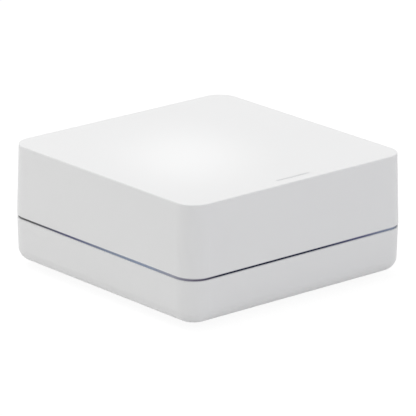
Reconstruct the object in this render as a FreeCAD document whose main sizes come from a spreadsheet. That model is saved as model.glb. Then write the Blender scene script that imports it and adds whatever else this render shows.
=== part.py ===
import FreeCAD, Part
import os
import re
import Sketcher

# Smart lighting hub: a square two-piece plastic case with a recessed ring round its seam,
# holding one circuit board with a network socket, a power socket and a pairing button.
# Frame: +Z up, origin on the surface under the middle of the feet, front edge towards -Y,
# sockets towards +Y. All values are millimetres.

SIZES = {
    # case heights, from the feet up
    "foot_proud": 1.5,
    "base_height": 11.2,
    "seam_gap": 0.8,
    "cover_height": 18.1,
    # case outline: half widths, with a little draft towards top and bottom
    "cover_half": 35.0,
    "cover_draft": 0.4,
    "base_inset": 0.05,
    "base_draft": 0.2,
    "corner_round": 5.5,
    "cover_edge_round": 0.3,
    "base_edge_round": 3.45,
    "wall": 2.0,
    # ring in the seam
    "ring_recess": 0.3,
    "ring_lip": 0.9,
    "ring_wall_gap": 0.1,
    "ring_rise": 2.2,
    "ring_notch_half": 21.0,
    # fixing posts, bosses and screws
    "post_spacing": 48.0,
    "post_radius": 3.4,
    "boss_radius": 3.0,
    "screw_radius": 1.25,
    "screw_head_radius": 2.25,
    "screw_head_height": 1.6,
    "screw_head_depth": 3.1,
    "screw_length": 14.0,
    "screw_tip_gap": 1.5,
    "screw_gap": 0.05,
    "head_gap": 0.1,
    "cross_width": 0.6,
    "cross_length": 2.6,
    "cross_depth": 0.9,
    # feet and label
    "foot_radius": 4.5,
    "foot_seat": 0.8,
    "foot_edge": 0.4,
    "label_width": 34.0,
    "label_depth": 22.0,
    "label_thick": 0.25,
    "label_recess": 0.35,
    "label_gap": 0.3,
    # circuit board
    "board_gap": 0.4,
    "board_lift": 0.2,
    "board_thick": 1.6,
    "board_corner": 3.0,
    "board_hole_gap": 0.25,
    # faces of the sockets, behind the outside of the rear wall
    "port_recess": 1.0,
    "port_gap": 0.15,
    "tin": 0.25,
    # network socket
    "jack_place": -10.5,
    "jack_width": 16.0,
    "jack_height": 13.4,
    "jack_depth": 16.0,
    "mouth_width": 11.8,
    "mouth_height": 7.0,
    "mouth_rise": 3.9,
    "mouth_depth": 12.0,
    "latch_width": 6.6,
    "latch_tip_width": 3.4,
    "latch_step": 1.6,
    "contact_pitch": 1.02,
    "contact_width": 0.35,
    "contact_front": 2.6,
    "contact_length": 6.8,
    "contact_drop": 2.5,
    "contact_thick": 0.35,
    "light_spread": 5.6,
    "light_width": 2.6,
    "light_height": 1.5,
    "light_depth": 3.0,
    "light_drop": 2.1,
    # power socket
    "usb_place": 6.5,
    "usb_width": 7.5,
    "usb_height": 2.6,
    "usb_depth": 5.6,
    "usb_bevel": 0.8,
    "tongue_width": 3.8,
    "tongue_thick": 0.6,
    "tongue_root": 1.4,
    "tongue_inset": 0.6,
    "strip_pitch": 0.65,
    "strip_width": 0.3,
    "strip_thick": 0.12,
    # pairing button and its switch
    "button_place": 16.0,
    "button_rise": 2.9,
    "cap_radius": 2.0,
    "cap_gap": 0.15,
    "cap_recess": 0.4,
    "cap_length": 2.6,
    "cap_flange_radius": 2.8,
    "cap_flange": 0.7,
    "cap_edge": 0.3,
    "button_travel": 0.3,
    "switch_gap": 0.55,
    "switch_width": 6.0,
    "switch_height": 4.8,
    "switch_depth": 3.2,
    "plunger_radius": 1.0,
    "plunger_length": 1.8,
    "plunger_gap": 0.1,
    "pin_width": 0.7,
    "pin_reach": 1.1,
    "pin_thick": 0.25,
    "pin_spread": 2.0,
    # status light
    "line_length": 10.3,
    "line_width": 0.6,
    "line_inset": 3.15,
    "line_gap": 0.04,
    "pipe_flange": 0.8,
    "pipe_margin": 2.2,
    "pipe_front": 0.8,
    "pipe_back": 2.6,
    "stem_half": 1.5,
    "peg_radius": 0.5,
    "peg_gap": 0.06,
    "peg_inset": 1.0,
    "led_width": 3.2,
    "led_depth": 1.6,
    "led_height": 1.0,
    "led_gap": 0.3,
    # parts soldered on the board, and the gap between neighbours
    "part_gap": 1.0,
    "chip_height": 1.0,
    "processor_side": 12.0,
    "memory_width": 11.0,
    "memory_depth": 8.0,
    "crystal_width": 5.0,
    "crystal_depth": 3.2,
    "crystal_height": 1.2,
    "ethernet_side": 5.0,
    "transformer_width": 9.0,
    "transformer_depth": 12.5,
    "transformer_height": 5.5,
    "inductor_place": 8.0,
    "inductor_side": 6.0,
    "inductor_height": 3.0,
    "regulator_width": 6.5,
    "regulator_depth": 3.5,
    "regulator_height": 1.7,
    "regulator_shift": 4.0,
    "flash_side": 5.2,
    "flash_height": 1.7,
    "lead_pitch": 1.27,
    "lead_width": 0.4,
    "lead_reach": 1.0,
    "lead_thick": 0.2,
    "shield_width": 17.0,
    "shield_depth": 15.0,
    "shield_height": 2.2,
    "lid_overlap": 1.1,
    "radio_side": 6.0,
    "radio_shift": 4.0,
    "radio_crystal_width": 3.2,
    "radio_crystal_depth": 2.5,
    "radio_crystal_height": 0.8,
    "edge_margin": 4.6,
    "antenna_margin": 3.0,
    "antenna_start": -15.0,
    "antenna_length": 26.0,
    "antenna_height": 10.0,
    "antenna_strip": 1.6,
    "antenna_thick": 0.5,
    "antenna_leg_pitch": 6.0,
    "can_radius": 2.4,
    "can_height": 4.4,
    "can_base_side": 5.0,
    "can_base_height": 1.0,
    "small_length": 1.6,
    "small_width": 0.8,
    "small_height": 0.8,
    "small_pitch": 2.6,
}

# Heights and faces that follow from the sizes above
rim_z = "(foot_proud + base_height)"
cover_z = f"({rim_z} + seam_gap)"
top_z = f"({cover_z} + cover_height)"
roof_z = f"({top_z} - wall)"
floor_z = "(foot_proud + wall)"
board_z = f"({rim_z} + board_lift)"
board_top = f"({board_z} + board_thick)"
base_half = "(cover_half - base_inset)"
ring_inner = "(cover_half - wall - ring_wall_gap - ring_lip)"
board_half = f"({ring_inner} - board_gap)"
port_face = "(cover_half - port_recess)"
post = "post_spacing / 2"
head_top = "(foot_proud + foot_seat + screw_head_depth + screw_head_height)"

document = FreeCAD.newDocument("LightingHub")
sheet = document.addObject("Spreadsheet::Sheet", "Sizes")
for row, (alias, value) in enumerate(SIZES.items(), start=1):
    sheet.set(f"A{row}", alias)
    sheet.set(f"B{row}", str(value))
    sheet.setAlias(f"B{row}", alias)
document.recompute()


def from_sheet(text):
    """Write an expression's size names as cells of the sheet."""
    return re.sub(r"[a-z_]+", lambda word: f"Sizes.{word[0]}" if word[0] in SIZES else word[0], str(text))


def bind(thing, name, text):
    thing.setExpression(name, from_sheet(text))


def number(text):
    """The value of an expression, for a sketch's first drawing and for choosing edges."""
    return float(sheet.evalExpression(from_sheet(text)))


def new_body(name):
    return document.addObject("PartDesign::Body", name)


def sketch(body, plane, lift, outlines=(), circles=()):
    """Closed outlines through (x, y) corners, and circles of (x, y, radius), on a plane of the body."""
    drawing = body.newObject("Sketcher::SketchObject", body.Name + "Outline")
    support = [item for item in body.Origin.OriginFeatures if item.Role == plane][0]
    drawing.AttachmentSupport = [(support, "")]
    drawing.MapMode = "FlatFace"
    bind(drawing, "AttachmentOffset.Base.z", lift)
    for corners in outlines:
        first = drawing.GeometryCount
        points = [FreeCAD.Vector(number(x), number(y), 0) for x, y in corners]
        for start, end in zip(points, points[1:] + points[:1]):
            drawing.addGeometry(Part.LineSegment(start, end), False)
        for index, (x, y) in enumerate(corners):
            line = first + index
            following = first + (index + 1) % len(corners)
            drawing.addConstraint(Sketcher.Constraint("Coincident", line, 2, following, 1))
            place(drawing, line, 1, x, y)
    for x, y, radius in circles:
        centre = FreeCAD.Vector(number(x), number(y), 0)
        circle = drawing.addGeometry(Part.Circle(centre, FreeCAD.Vector(0, 0, 1), number(radius)), False)
        place(drawing, circle, 3, x, y)
        size = drawing.addConstraint(Sketcher.Constraint("Radius", circle, number(radius)))
        bind(drawing, f"Constraints[{size}]", radius)
    document.recompute()
    return drawing


def place(drawing, line, point, x, y):
    """Hold a point of a sketch at its distances from the sketch's origin."""
    for kind, text in (("DistanceX", x), ("DistanceY", y)):
        index = drawing.addConstraint(Sketcher.Constraint(kind, -1, 1, line, point, number(text)))
        bind(drawing, f"Constraints[{index}]", text)


def extrude(body, kind, drawing, length, reverse, taper):
    before = body.Shape.Volume if body.Tip else 0
    feature = body.newObject(f"PartDesign::{kind}", body.Name + kind)
    feature.Profile = drawing
    feature.Reversed = reverse
    bind(feature, "Length", length)
    if taper:
        bind(feature, "TaperAngle", taper)
    document.recompute()
    if abs(feature.Shape.Volume - before) < 1e-6:
        raise RuntimeError(f"{feature.Name} changes nothing")
    return feature


def pad(body, drawing, length, reverse=False, taper=None):
    return extrude(body, "Pad", drawing, length, reverse, taper)


def pocket(body, drawing, length, reverse=False, taper=None):
    return extrude(body, "Pocket", drawing, length, reverse, taper)


def fillet(body, radius, chosen):
    """Round the edges of the body's last feature that the function chosen picks."""
    base = body.Tip
    names = [f"Edge{i}" for i, edge in enumerate(base.Shape.Edges, start=1) if chosen(edge)]
    feature = body.newObject("PartDesign::Fillet", body.Name + "Fillet")
    feature.Base = (base, names)
    bind(feature, "Radius", radius)
    document.recompute()
    return feature


def rises(low, high):
    """Picks edges that run from one height to the other."""
    def chosen(edge):
        box = edge.BoundBox
        return abs(box.ZMin - number(low)) < 0.01 and abs(box.ZMax - number(high)) < 0.01
    return chosen


def lies_at(height):
    """Picks edges that lie flat at a height."""
    return rises(height, height)


def corners_outside(chosen, half):
    """Narrows a choice to edges that lie beyond a distance from the middle."""
    def narrowed(edge):
        centre = edge.BoundBox.Center
        return chosen(edge) and max(abs(centre.x), abs(centre.y)) > number(half)
    return narrowed


def square(half_x, half_y=None):
    half_y = half_y or half_x
    return [
        (f"-({half_x})", f"-({half_y})"),
        (f"{half_x}", f"-({half_y})"),
        (f"{half_x}", f"{half_y}"),
        (f"-({half_x})", f"{half_y}"),
    ]


def four(distance, radius):
    """A circle in each quarter."""
    return [(f"{sx} * {distance}", f"{sy} * {distance}", radius) for sx in (-1, 1) for sy in (-1, 1)]


def box(name, x, y, z):
    """A block between its low and high faces on each axis."""
    block = document.addObject("Part::Box", name)
    for axis, size, (low, high) in zip("xyz", ("Length", "Width", "Height"), (x, y, z)):
        bind(block, size, f"({high}) - ({low})")
        bind(block, f"Placement.Base.{axis}", low)
    return block


def about(middle, width):
    """The low and high faces of a width that is centred on a place."""
    return f"({middle}) - ({width}) / 2", f"({middle}) + ({width}) / 2"


def cylinder(name, at, radius, length, along="z"):
    rod = document.addObject("Part::Cylinder", name)
    if along == "y":
        rod.Placement.Rotation = FreeCAD.Rotation(FreeCAD.Vector(1, 0, 0), -90)
    for axis, text in zip("xyz", at):
        bind(rod, f"Placement.Base.{axis}", text)
    bind(rod, "Radius", radius)
    bind(rod, "Height", length)
    return rod


def fuse(name, shapes):
    joined = document.addObject("Part::MultiFuse", name)
    joined.Shapes = shapes
    joined.Refine = True
    return joined


def cut(name, base, tool):
    left = document.addObject("Part::Cut", name)
    left.Base = base
    left.Tool = tool
    left.Refine = True
    return left


def group(name, shapes):
    together = document.addObject("Part::Compound", name)
    together.Links = shapes
    return together


parts = []


def keep(node, thing):
    thing.Label = node
    parts.append(thing)
    return thing


# Top cover: moulded shell with draft, four screw bosses, the slot of the status light
# with two pegs beside it, and the openings of the rear wall.
cover_taper = "atan(cover_draft / cover_height)"
cover = new_body("Cover")
cover_outline = sketch(cover, "XY_Plane", cover_z, [square("cover_half")])
pad(cover, cover_outline, "cover_height", taper=f"-{cover_taper}")
fillet(cover, "corner_round", rises(cover_z, top_z))
fillet(cover, "cover_edge_round", lies_at(top_z))
inside = "cover_half - wall"
hollow = sketch(cover, "XY_Plane", cover_z, [square(inside)])
pocket(cover, hollow, "cover_height - wall", reverse=True, taper=f"-{cover_taper}")
fillet(cover, "corner_round - wall", rises(cover_z, roof_z))
pad(cover, sketch(cover, "XY_Plane", board_top, circles=four(post, "boss_radius")),
    f"{top_z} - wall / 2 - {board_top}")
pocket(cover, sketch(cover, "XY_Plane", board_top, circles=four(post, "screw_radius + screw_gap")),
       f"{head_top} + screw_length - {board_top} + screw_tip_gap", reverse=True)
line_y = "(line_inset - cover_half + cover_draft)"
slot = [(x, f"{y} + {line_y}") for x, y in square("line_length / 2 + line_gap", "line_width / 2 + line_gap")]
pocket(cover, sketch(cover, "XY_Plane", f"{roof_z} - wall", [slot]), "wall * 3", reverse=True)
peg_y = f"({line_y} + pipe_back / 2)"
peg_x = "(line_length / 2 + pipe_margin - peg_inset)"
pegs = [(f"{side} * {peg_x}", peg_y, "peg_radius") for side in (-1, 1)]
pad(cover, sketch(cover, "XY_Plane", f"{roof_z} - pipe_flange - peg_gap", circles=pegs),
    "pipe_flange + peg_gap + wall / 2")
jack_low = f"({board_top} - port_gap)"
jack_high = f"({board_top} + jack_height + port_gap)"
usb_high = f"({board_top} + usb_height + port_gap)"
button_z = f"({board_top} + button_rise)"


def rear_opening(place_x, width, low, high):
    left, right = about(place_x, f"{width} + port_gap * 2")
    return [(left, low), (right, low), (right, high), (left, high)]


openings = [
    rear_opening("jack_place", "jack_width", jack_low, jack_high),
    rear_opening("usb_place", "usb_width", jack_low, usb_high),
]
button_hole = [("button_place", button_z, "cap_radius + cap_gap")]
pocket(cover, sketch(cover, "XZ_Plane", "wall * 2 - cover_half", openings, button_hole), "wall * 3")
keep("top_cover", cover)

# Base: lower shell with a rolled edge, posts that carry the board, seats for the feet
# with the screw holes above them, and a shallow seat for the label.
base_taper = "atan(base_draft / base_height)"
base = new_body("Base")
pad(base, sketch(base, "XY_Plane", rim_z, [square(base_half)]), "base_height", True, f"-{base_taper}")
fillet(base, "corner_round", rises("foot_proud", rim_z))
fillet(base, "base_edge_round", lies_at("foot_proud"))
pocket(base, sketch(base, "XY_Plane", rim_z, [square(f"{base_half} - wall")]),
       "base_height - wall", taper=f"-{base_taper}")
fillet(base, "corner_round - wall", rises(floor_z, rim_z))
fillet(base, "base_edge_round - wall", corners_outside(lies_at(floor_z), "post_spacing / 2"))
pad(base, sketch(base, "XY_Plane", "foot_proud + wall / 2", circles=four(post, "post_radius")),
    f"{board_z} - foot_proud - wall / 2")
pocket(base, sketch(base, "XY_Plane", "0", circles=four(post, "foot_radius + head_gap")),
       "foot_proud + foot_seat", reverse=True)
pocket(base, sketch(base, "XY_Plane", "0", circles=four(post, "screw_head_radius + head_gap")),
       head_top, reverse=True)
pocket(base, sketch(base, "XY_Plane", "0", circles=four(post, "screw_radius + screw_gap")),
       f"{board_z} + wall", reverse=True)
label_seat = square("label_width / 2 + label_gap", "label_depth / 2 + label_gap")
pocket(base, sketch(base, "XY_Plane", "0", [label_seat]), "foot_proud + label_recess", reverse=True)
keep("base_shell", base)

# Reveal ring: its flange is clamped between rim and cover and shows in the seam,
# its web stands inside the cover wall and is left out behind the sockets.
ring = new_body("Ring")
ring_outer = "(cover_half - ring_recess)"
pad(ring, sketch(ring, "XY_Plane", rim_z, [square(ring_outer)]), "seam_gap")
fillet(ring, "corner_round - ring_recess", rises(rim_z, cover_z))
web = "(cover_half - wall - ring_wall_gap)"
pad(ring, sketch(ring, "XY_Plane", cover_z, [square(web)]), "ring_rise")
web_high = f"({cover_z} + ring_rise)"
fillet(ring, f"corner_round - cover_half + {web}", rises(cover_z, web_high))
core = new_body("RingCore")
pad(core, sketch(core, "XY_Plane", rim_z, [square(ring_inner)]), "ring_rise + seam_gap")
fillet(core, f"corner_round - cover_half + {ring_inner}", rises(rim_z, web_high))
notch = box("RingNotch", ("-ring_notch_half", "ring_notch_half"), (f"{ring_inner} - ring_lip", "cover_half"),
            (cover_z, web_high))
keep("reveal_ring", cut("RingShell", ring, fuse("RingOpening", [core, notch])))

# Main board: glass-fibre laminate with four holes that the screws pass through.
board = new_body("Board")
holes = four(post, "screw_radius + board_hole_gap")
pad(board, sketch(board, "XY_Plane", board_z, [square(board_half)], holes), "board_thick")
fillet(board, "board_corner", corners_outside(rises(board_z, board_top), f"{board_half} - 0.1"))
keep("main_board", board)

# Feet: four rubber discs pressed into their seats over the screws.
for node, sx, sy in (("foot_front_left", -1, -1), ("foot_front_right", 1, -1),
                     ("foot_rear_left", -1, 1), ("foot_rear_right", 1, 1)):
    foot = new_body("Foot")
    pad(foot, sketch(foot, "XY_Plane", "0", circles=[(f"{sx} * {post}", f"{sy} * {post}", "foot_radius")]),
        "foot_proud + foot_seat")
    fillet(foot, "foot_edge", lies_at("0"))
    keep(node, foot)

# Housing screws: cross-recessed, up through base post and board into the cover's boss.
screws = []
for sx in (-1, 1):
    for sy in (-1, 1):
        x, y = f"{sx} * {post}", f"{sy} * {post}"
        low = f"{head_top} - screw_head_height"
        head = cylinder("ScrewHead", (x, y, low), "screw_head_radius", "screw_head_height")
        shank = cylinder("ScrewShank", (x, y, low), "screw_radius", "screw_length + screw_head_height")
        recess_z = (low, f"{low} + cross_depth")
        across = box("CrossAcross", about(x, "cross_length"), about(y, "cross_width"), recess_z)
        along = box("CrossAlong", about(x, "cross_width"), about(y, "cross_length"), recess_z)
        screws.append(cut("Screw", fuse("ScrewBlank", [head, shank]), fuse("Cross", [across, along])))
keep("housing_screws", group("Screws", screws))

# Label: blank plate stuck in its shallow seat under the base.
label_z = "foot_proud + label_recess"
keep("rating_label", box("Label", about("0", "label_width"), about("0", "label_depth"),
                         (f"{label_z} - label_thick", label_z)))

# Network socket: plastic housing, tin-plated shield round it, eight spring contacts
# and two link lights above the mouth.
jack_back = f"({port_face} - jack_depth)"
jack_top = f"({board_top} + jack_height)"
mouth_low = f"({board_top} + mouth_rise)"
mouth_high = f"({mouth_low} + mouth_height)"
inside_y = (f"{port_face} - mouth_depth", f"{port_face} + wall")
mouth = fuse("Mouth", [
    box("MouthMain", about("jack_place", "mouth_width"), inside_y, (mouth_low, mouth_high)),
    box("MouthLatch", about("jack_place", "latch_width"), inside_y,
        (f"{mouth_low} - latch_step", f"{mouth_low} + latch_step")),
    box("MouthLatchTip", about("jack_place", "latch_tip_width"), inside_y,
        (f"{mouth_low} - latch_step * 2", f"{mouth_low} + latch_step")),
])
light_low = f"({jack_top} - light_drop)"
light_y = f"{port_face} - light_depth"


def link_light(side, front):
    return box("LinkLight", about(f"jack_place + {side} * light_spread", "light_width"),
               (light_y, front), (light_low, f"{light_low} + light_height"))


light_seats = fuse("LightSeats", [link_light(side, f"{port_face} + wall") for side in (-1, 1)])
front_cuts = fuse("JackCuts", [mouth, light_seats])
inner_x = about("jack_place", "jack_width - tin * 2")
inner_y = (f"{jack_back} + tin", f"{port_face} - tin")
block = box("JackBlock", inner_x, inner_y, (board_top, f"{jack_top} - tin"))
keep("ethernet_jack_housing", cut("JackHousing", block, front_cuts))
outer = box("JackOutside", about("jack_place", "jack_width"), (jack_back, port_face), (board_top, jack_top))
skin = cut("JackSkin", outer, box("JackInside", inner_x, inner_y, (board_top, f"{jack_top} - tin")))
keep("ethernet_jack_shield", cut("JackShield", skin, front_cuts))
keep("ethernet_link_lights", group("LinkLights", [link_light(side, port_face) for side in (-1, 1)]))
contacts = []
for index in range(8):
    contact = new_body("Contact")
    tip_y = f"{port_face} - contact_front"
    side_view = [
        (tip_y, mouth_high),
        (f"{tip_y} - contact_thick * 2", mouth_high),
        (f"{tip_y} - contact_length", f"{mouth_high} - contact_drop + contact_thick"),
        (f"{tip_y} - contact_length", f"{mouth_high} - contact_drop"),
    ]
    left = f"jack_place + {index - 3.5} * contact_pitch - contact_width / 2"
    pad(contact, sketch(contact, "YZ_Plane", left, [side_view]), "contact_width")
    contacts.append(contact)
keep("ethernet_contacts", group("Contacts", contacts))

# Power socket: folded shell with bevelled lower corners, tongue and contact strips.
usb_back = f"({port_face} - usb_depth)"


def usb_outline(inset):
    left = f"usb_place - usb_width / 2 + {inset}"
    right = f"usb_place + usb_width / 2 - {inset}"
    low = f"{board_top} + {inset}"
    high = f"{board_top} + usb_height - {inset}"
    return [(f"{left} + usb_bevel", low), (f"{right} - usb_bevel", low), (right, f"{low} + usb_bevel"),
            (right, high), (left, high), (left, f"{low} + usb_bevel")]


usb_shell = new_body("UsbShell")
pad(usb_shell, sketch(usb_shell, "XZ_Plane", f"-{port_face}", [usb_outline("0"), usb_outline("tin")]),
    "usb_depth")
keep("usb_socket_shell", usb_shell)
usb_middle = f"({board_top} + usb_height / 2)"
tongue_low = f"({usb_middle} - tongue_thick / 2)"
root_x = about("usb_place", "usb_width - usb_bevel * 2 - tin * 2")
root = box("TongueRoot", root_x, (usb_back, f"{usb_back} + tongue_root"),
           (f"{board_top} + tin", f"{board_top} + usb_height - tin"))
tongue = box("TonguePlate", about("usb_place", "tongue_width"), (usb_back, f"{port_face} - tongue_inset"),
             (tongue_low, f"{tongue_low} + tongue_thick"))
keep("usb_socket_tongue", fuse("Tongue", [root, tongue]))
strips = [
    box("Strip", about(f"usb_place + {index - 2} * strip_pitch", "strip_width"),
        (f"{usb_back} + tongue_root", f"{port_face} - tongue_inset"),
        (f"{tongue_low} - strip_thick", tongue_low))
    for index in range(5)
]
keep("usb_socket_contacts", group("Strips", strips))

# Pairing button: cap with a flange behind the rear wall, on a right-angle switch.
cap_face = "(cover_half - cap_recess)"
cap_back = f"({cap_face} - cap_length)"
cap = new_body("Cap")
centre = ("button_place", button_z)
pad(cap, sketch(cap, "XZ_Plane", f"-{cap_back}", circles=[(*centre, "cap_radius")]), "cap_length", True)


def at_cap_face(edge):
    return edge.BoundBox.YMin > number(cap_face) - 0.01


fillet(cap, "cap_edge", at_cap_face)
cap_rim = sketch(cap, "XZ_Plane", f"-{cap_back}", circles=[(*centre, "cap_flange_radius")])
pad(cap, cap_rim, "cap_flange", True)
keep("pairing_button", cap)
plunger_back = f"({cap_back} - plunger_length)"
keep("switch_plunger", cylinder("Plunger", ("button_place", plunger_back, button_z),
                                "plunger_radius", "plunger_length", "y"))
frame_face = f"({cap_back} - switch_gap)"
switch_x = about("button_place", "switch_width")
switch_z = (board_top, f"{board_top} + switch_height")
switch_back = f"({frame_face} - tin - switch_depth)"
bore_back = f"({plunger_back} - button_travel - plunger_gap)"
bore = cylinder("PlungerBore", ("button_place", bore_back, button_z), "plunger_radius + plunger_gap",
                "cap_length + plunger_length", "y")
switch_block = box("SwitchBlock", switch_x, (switch_back, f"{frame_face} - tin"), switch_z)
keep("switch_body", cut("SwitchBody", switch_block, bore))
plate = box("SwitchPlate", switch_x, (f"{frame_face} - tin", frame_face), switch_z)
keep("switch_frame", cut("SwitchFrame", plate, bore))
pins = [
    box("SwitchPin", about(f"button_place + {side} * pin_spread", "pin_width"),
        (f"{switch_back} - pin_reach", switch_back), (board_top, f"{board_top} + pin_thick"))
    for side in (-1, 1)
]
keep("switch_terminals", group("SwitchPins", pins))

# Status light: a clear bar flush in the cover's slot, its flange held on the two pegs,
# with a stem down to the light-emitting chip on the board.
flange_low = f"({roof_z} - pipe_flange)"
pipe_x = about("0", "line_length + pipe_margin * 2")
flange_y = (f"{line_y} - pipe_front", f"{line_y} + pipe_back + peg_inset")
flange = box("PipeFlange", pipe_x, flange_y, (flange_low, roof_z))
bar = box("PipeBar", about("0", "line_length"), about(line_y, "line_width"), (flange_low, top_z))
led_y = f"({line_y} + led_depth)"
led_top = f"({board_top} + led_height)"
stem = box("PipeStem", about("0", "stem_half * 2"), about(led_y, "led_depth"),
           (f"{led_top} + led_gap", roof_z))
peg_holes = group("PegHoles", [
    cylinder("PegHole", (f"{side} * {peg_x}", peg_y, f"{flange_low} - wall"),
             "peg_radius + peg_gap", "wall * 2")
    for side in (-1, 1)
])
keep("status_light_pipe", cut("Pipe", fuse("PipeBlank", [flange, bar, stem]), peg_holes))
keep("status_led", box("Led", about("0", "led_width"), about(led_y, "led_depth"), (board_top, led_top)))


def chip(node, x, y, width, depth, height):
    """A part soldered flat on the board; width, depth and height are its body's own size."""
    return keep(node, box(node.title().replace("_", ""), about(x, width), about(y, depth),
                          (board_top, f"{board_top} + {height}")))


# Processor in the middle, with its memory in front of it, its crystal beside it and the
# network controller behind it.
memory_y = "(-processor_side / 2 - part_gap - memory_depth / 2)"
chip("processor", "0", "0", "processor_side", "processor_side", "chip_height")
chip("memory_chip", "0", memory_y, "memory_width", "memory_depth", "chip_height")
chip("crystal_can", "processor_side / 2 + part_gap + crystal_width / 2", "0",
     "crystal_width", "crystal_depth", "crystal_height")
chip("ethernet_controller", "0", "processor_side / 2 + part_gap + ethernet_side / 2",
     "ethernet_side", "ethernet_side", "chip_height")
chip("ethernet_transformer", "jack_place", f"{jack_back} - part_gap - transformer_depth / 2",
     "transformer_width", "transformer_depth", "transformer_height")

# Flash chip: moulded body with four flat leads on two sides.
flash_x = "(memory_width / 2 + part_gap + flash_side / 2)"
flash = [box("FlashBlock", about(flash_x, "flash_side"), about(memory_y, "flash_side"),
             (board_top, f"{board_top} + flash_height"))]
for index in range(4):
    flash.append(box("FlashLeads", about(f"{flash_x} + {index - 1.5} * lead_pitch", "lead_width"),
                     about(memory_y, "flash_side + lead_reach * 2"),
                     (board_top, f"{board_top} + lead_thick")))
keep("flash_chip", fuse("Flash", flash))

# Power: regulator in front of the power socket, inductor and two electrolytic
# capacitors on moulded bases along the right edge.
chip("voltage_regulator", "button_place - regulator_shift",
     f"{switch_back} - pin_reach - part_gap - regulator_depth / 2",
     "regulator_width", "regulator_depth", "regulator_height")
power_x = f"({board_half} - edge_margin - inductor_side / 2)"
chip("power_inductor", power_x, "inductor_place", "inductor_side", "inductor_side", "inductor_height")
cans = []
for index in range(2):
    can_y = (f"(inductor_place - inductor_side / 2 - can_base_side / 2 - part_gap"
             f" - {index} * (can_base_side + part_gap))")
    can_base = box("CanBase", about(power_x, "can_base_side"), about(can_y, "can_base_side"),
                   (board_top, f"{board_top} + can_base_height"))
    can = cylinder("Can", (power_x, can_y, f"{board_top} + can_base_height"), "can_radius", "can_height")
    cans.append(fuse("Capacitor", [can_base, can]))
keep("bulk_capacitors", group("Capacitors", cans))

# Radio: chip and crystal under a tin frame with a lid pressed over it, beside the memory.
lid_side = "(memory_width / 2 + part_gap)"
radio_x = f"(-{lid_side} - tin - shield_width / 2)"
radio_y = f"(-{post} + boss_radius + part_gap + tin + shield_depth / 2)"
frame_x = about(radio_x, "shield_width")
frame_y = about(radio_y, "shield_depth")
frame_top = f"({board_top} + shield_height)"
frame_box = box("FrameOutside", frame_x, frame_y, (board_top, frame_top))
frame_hole = box("FrameInside", about(radio_x, "shield_width - tin * 2"),
                 about(radio_y, "shield_depth - tin * 2"), (board_top, frame_top))
keep("radio_shield_frame", cut("Frame", frame_box, frame_hole))
lid_x = about(radio_x, "shield_width + tin * 2")
lid_y = about(radio_y, "shield_depth + tin * 2")
lid_box = box("LidOutside", lid_x, lid_y, (f"{frame_top} - lid_overlap", f"{frame_top} + tin"))
lid_hole = box("LidInside", frame_x, frame_y, (f"{frame_top} - lid_overlap", frame_top))
keep("radio_shield_lid", cut("Lid", lid_box, lid_hole))
chip("radio_chip", f"{radio_x} - radio_shift", radio_y, "radio_side", "radio_side", "chip_height")
chip("radio_crystal", f"{radio_x} + radio_shift", radio_y,
     "radio_crystal_width", "radio_crystal_depth", "radio_crystal_height")

# Antenna: stamped strip that stands on two soldered legs beside the left wall.
antenna = new_body("Antenna")
antenna_x = f"antenna_margin - {board_half}"
antenna_end = "(antenna_start + antenna_length)"
antenna_top = f"({board_top} + antenna_height)"
under = f"({antenna_top} - antenna_strip)"
second_leg = "(antenna_start + antenna_leg_pitch)"
outline = [
    ("antenna_start", board_top), ("antenna_start + antenna_strip", board_top),
    ("antenna_start + antenna_strip", under), (second_leg, under), (second_leg, board_top),
    (f"{second_leg} + antenna_strip", board_top), (f"{second_leg} + antenna_strip", under),
    (antenna_end, under), (antenna_end, antenna_top), ("antenna_start", antenna_top),
]
pad(antenna, sketch(antenna, "YZ_Plane", antenna_x, [outline]), "antenna_thick")
keep("antenna", antenna)


def small_row(node, count, y):
    """A row of small chips that starts beside the radio's lid."""
    row = [
        box("Small", about(f"{index} * small_pitch - {lid_side} + small_pitch", "small_width"),
            about(y, "small_length"), (board_top, f"{board_top} + small_height"))
        for index in range(count)
    ]
    return keep(node, group(node.title().replace("_", ""), row))


capacitor_y = f"({memory_y} - memory_depth / 2 - part_gap - small_length / 2)"
small_row("chip_capacitors", 6, capacitor_y)
small_row("chip_resistors", 5, f"{capacitor_y} - small_length - part_gap")

document.recompute()
for thing in document.Objects:
    if {"Invalid", "Error"} & set(thing.State):
        raise RuntimeError(f"{thing.Name} could not be made")
os.makedirs("parts", exist_ok=True)
for thing in parts:
    if thing.Shape.isNull() or not thing.Shape.isValid():
        raise RuntimeError(f"{thing.Label} has no sound shape")
for thing in parts:
    thing.Shape.exportStep(f"parts/{thing.Label}.step")
print(len(parts), "parts written")
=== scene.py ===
import bmesh
import bpy
import math
from mathutils import Matrix, Vector


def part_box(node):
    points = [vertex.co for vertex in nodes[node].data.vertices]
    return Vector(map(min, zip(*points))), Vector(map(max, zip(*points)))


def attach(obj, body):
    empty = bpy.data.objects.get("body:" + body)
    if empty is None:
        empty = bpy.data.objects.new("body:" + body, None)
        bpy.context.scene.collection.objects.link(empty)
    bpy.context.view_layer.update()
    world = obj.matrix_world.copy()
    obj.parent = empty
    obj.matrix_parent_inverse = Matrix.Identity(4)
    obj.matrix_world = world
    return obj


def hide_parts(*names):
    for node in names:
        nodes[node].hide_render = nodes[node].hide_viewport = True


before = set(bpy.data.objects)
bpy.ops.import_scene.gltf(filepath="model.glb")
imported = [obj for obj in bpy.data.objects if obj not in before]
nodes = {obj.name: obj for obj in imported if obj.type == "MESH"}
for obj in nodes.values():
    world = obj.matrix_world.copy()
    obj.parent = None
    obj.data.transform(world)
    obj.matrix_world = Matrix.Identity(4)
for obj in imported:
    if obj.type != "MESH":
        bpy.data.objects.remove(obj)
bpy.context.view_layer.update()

# Base shell and top cover: two mouldings of the same white ABS, satin from the fine
# spark-eroded texture of their mould. The cover drops over the board, and four screws
# from below hold both together.
MM = 0.001
WHITE = (0.800, 0.8005, 0.797)
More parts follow.
